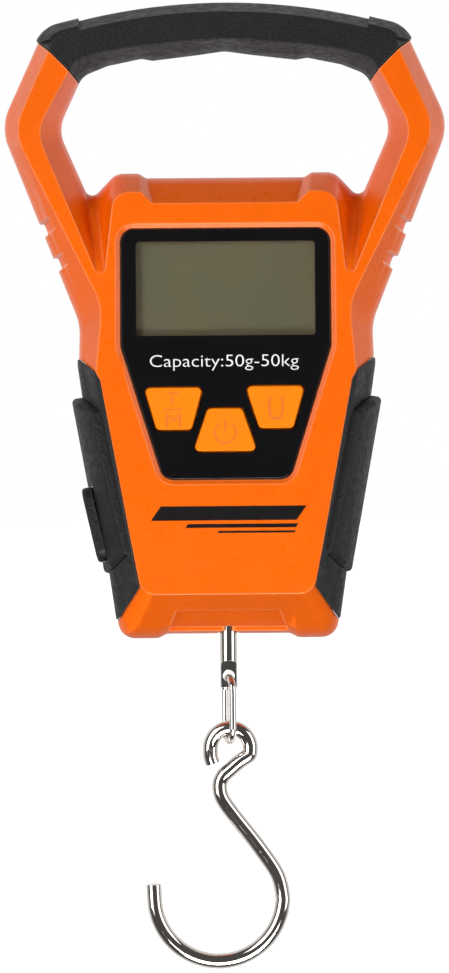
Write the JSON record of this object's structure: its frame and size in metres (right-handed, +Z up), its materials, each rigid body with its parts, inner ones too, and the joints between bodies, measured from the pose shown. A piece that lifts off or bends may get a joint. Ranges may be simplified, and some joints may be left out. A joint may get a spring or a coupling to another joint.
{
  "type": "digital fish scale",
  "caption": "Handheld digital hanging scale: D-handled two-shell casing with soft grips, display and keys, swivelling hook and a pull-out tape measure.",
  "frame": {"origin": "middle of the handle's grip bar, on the plane where the two shells meet", "axes": "+X to the right of someone facing the display, -Y out of the display, +Z up from the hook to the handle"},
  "size_m": [0.1276, 0.0289, 0.28],
  "materials": {
    "orange_plastic": "semi-gloss moulded ABS with a faint fine texture",
    "black_rubber": "matt, finely textured soft-touch elastomer",
    "smoked_panel": "high-gloss black acrylic, clear over the window",
    "display_cell": "grey-green reflective liquid-crystal cell",
    "orange_silicone": "matt yellow-orange silicone",
    "grey_silicone": "plain grey silicone",
    "board_laminate": "green solder-masked glass laminate",
    "black_moulding": "plain black moulding",
    "chip_resin": "moulded epoxy",
    "gauge_foil": "amber polyimide film over metal foil",
    "nickel_steel": "polished nickel-plated steel",
    "zinc_steel": "zinc-plated steel",
    "cell_alloy": "milled alloy steel",
    "spring_steel": "bright spring steel",
    "battery_jacket": "printed metal jacket",
    "yellow_tape": "enamelled steel tape",
    "red_insulation": "plain wire insulation"
  },
  "bodies": {
    "housing": {"front_shell": "orange_plastic", "rear_shell": "orange_plastic", "handle_grip_front": "black_rubber", "handle_grip_rear": "black_rubber", "side_grip_left_front": "black_rubber", "side_grip_left_rear": "black_rubber", "side_grip_right_front": "black_rubber", "side_grip_right_rear": "black_rubber", "face_lens": "smoked_panel", "lcd_glass": "display_cell", "lcd_frame": "black_moulding", "zebra_strip_upper": "grey_silicone", "zebra_strip_lower": "grey_silicone", "circuit_board": "board_laminate", "controller_chip": "chip_resin", "converter_chip": "chip_resin", "keypad_mat": "grey_silicone", "tare_dome": "spring_steel", "power_dome": "spring_steel", "unit_dome": "spring_steel", "load_cell": "cell_alloy", "strain_gauge_right": "gauge_foil", "strain_gauge_inner": "gauge_foil", "load_cell_bolt_left": "zinc_steel", "load_cell_bolt_right": "zinc_steel", "gauge_cable": "red_insulation", "battery_upper": "battery_jacket", "battery_lower": "battery_jacket", "battery_spring_upper": "spring_steel", "battery_spring_lower": "spring_steel", "battery_plate_left": "spring_steel", "battery_plate_right": "spring_steel", "battery_lead_positive": "red_insulation", "battery_lead_negative": "black_moulding", "tape_case": "black_moulding", "tape_case_lid": "black_moulding", "tape_spring": "spring_steel", "housing_screw_upper_left": "zinc_steel", "housing_screw_upper_right": "zinc_steel", "housing_screw_middle_left": "zinc_steel", "housing_screw_middle_right": "zinc_steel", "housing_screw_lower_left": "zinc_steel", "housing_screw_lower_right": "zinc_steel", "board_screw_upper_left": "zinc_steel", "board_screw_upper_right": "zinc_steel", "board_screw_lower_left": "zinc_steel", "board_screw_lower_right": "zinc_steel"},
    "tare_key": {"tare_key": "orange_silicone"},
    "power_key": {"power_key": "orange_silicone"},
    "unit_key": {"unit_key": "orange_silicone"},
    "hanger": {"hanger": "nickel_steel", "thrust_washer": "nickel_steel", "hanger_nut": "nickel_steel"},
    "connecting_link": {"connecting_link": "nickel_steel"},
    "hook": {"hook": "nickel_steel"},
    "battery_door": {"battery_door": "orange_plastic"},
    "tape_tab": {"tape_tab": "black_rubber", "tape_strip": "yellow_tape"},
    "tape_spool": {"tape_spool": "black_moulding", "tape_coil": "yellow_tape"}
  },
  "joints": [
    {"name": "tare_key_press", "type": "slide", "parent": "housing", "child": "tare_key", "axis": [0, 1, 0], "range_m": [0, 0.0007], "stiffness_N_per_m": 1500, "springref_m": -0.0003},
    {"name": "power_key_press", "type": "slide", "parent": "housing", "child": "power_key", "axis": [0, 1, 0], "range_m": [0, 0.0007], "stiffness_N_per_m": 1500, "springref_m": -0.0003},
    {"name": "unit_key_press", "type": "slide", "parent": "housing", "child": "unit_key", "axis": [0, 1, 0], "range_m": [0, 0.0007], "stiffness_N_per_m": 1500, "springref_m": -0.0003},
    {"name": "hanger_swivel", "type": "hinge", "parent": "housing", "child": "hanger", "pos_m": [0, 0, -0.1872], "axis": [0, 0, 1], "continuous": true},
    {"name": "link_swing", "type": "hinge", "parent": "hanger", "child": "connecting_link", "pos_m": [0, 0, -0.1872], "axis": [0, 1, 0], "range_deg": [-35, 35]},
    {"name": "hook_swing", "type": "hinge", "parent": "connecting_link", "child": "hook", "pos_m": [0, 0, -0.2062], "axis": [0, 1, 0], "range_deg": [-50, 50]},
    {"name": "battery_door_hinge", "type": "hinge", "parent": "housing", "child": "battery_door", "pos_m": [0, 0.014, -0.0885], "axis": [-1, 0, 0], "range_deg": [0, 100]},
    {"name": "tape_pull", "type": "slide", "parent": "housing", "child": "tape_tab", "axis": [-0.9755, 0, -0.2198], "range_m": [0, 1], "stiffness_N_per_m": 1.2, "springref_m": -0.5},
    {"name": "tape_spool_turn", "type": "hinge", "parent": "housing", "child": "tape_spool", "pos_m": [-0.0182, 0, -0.1464], "axis": [0, -1, 0], "range_deg": [-5, 10060]}
  ],
  "couplings": [
    {"joint": "tape_spool_turn", "follows": "tape_pull", "rad_per_m": 175}
  ]
}
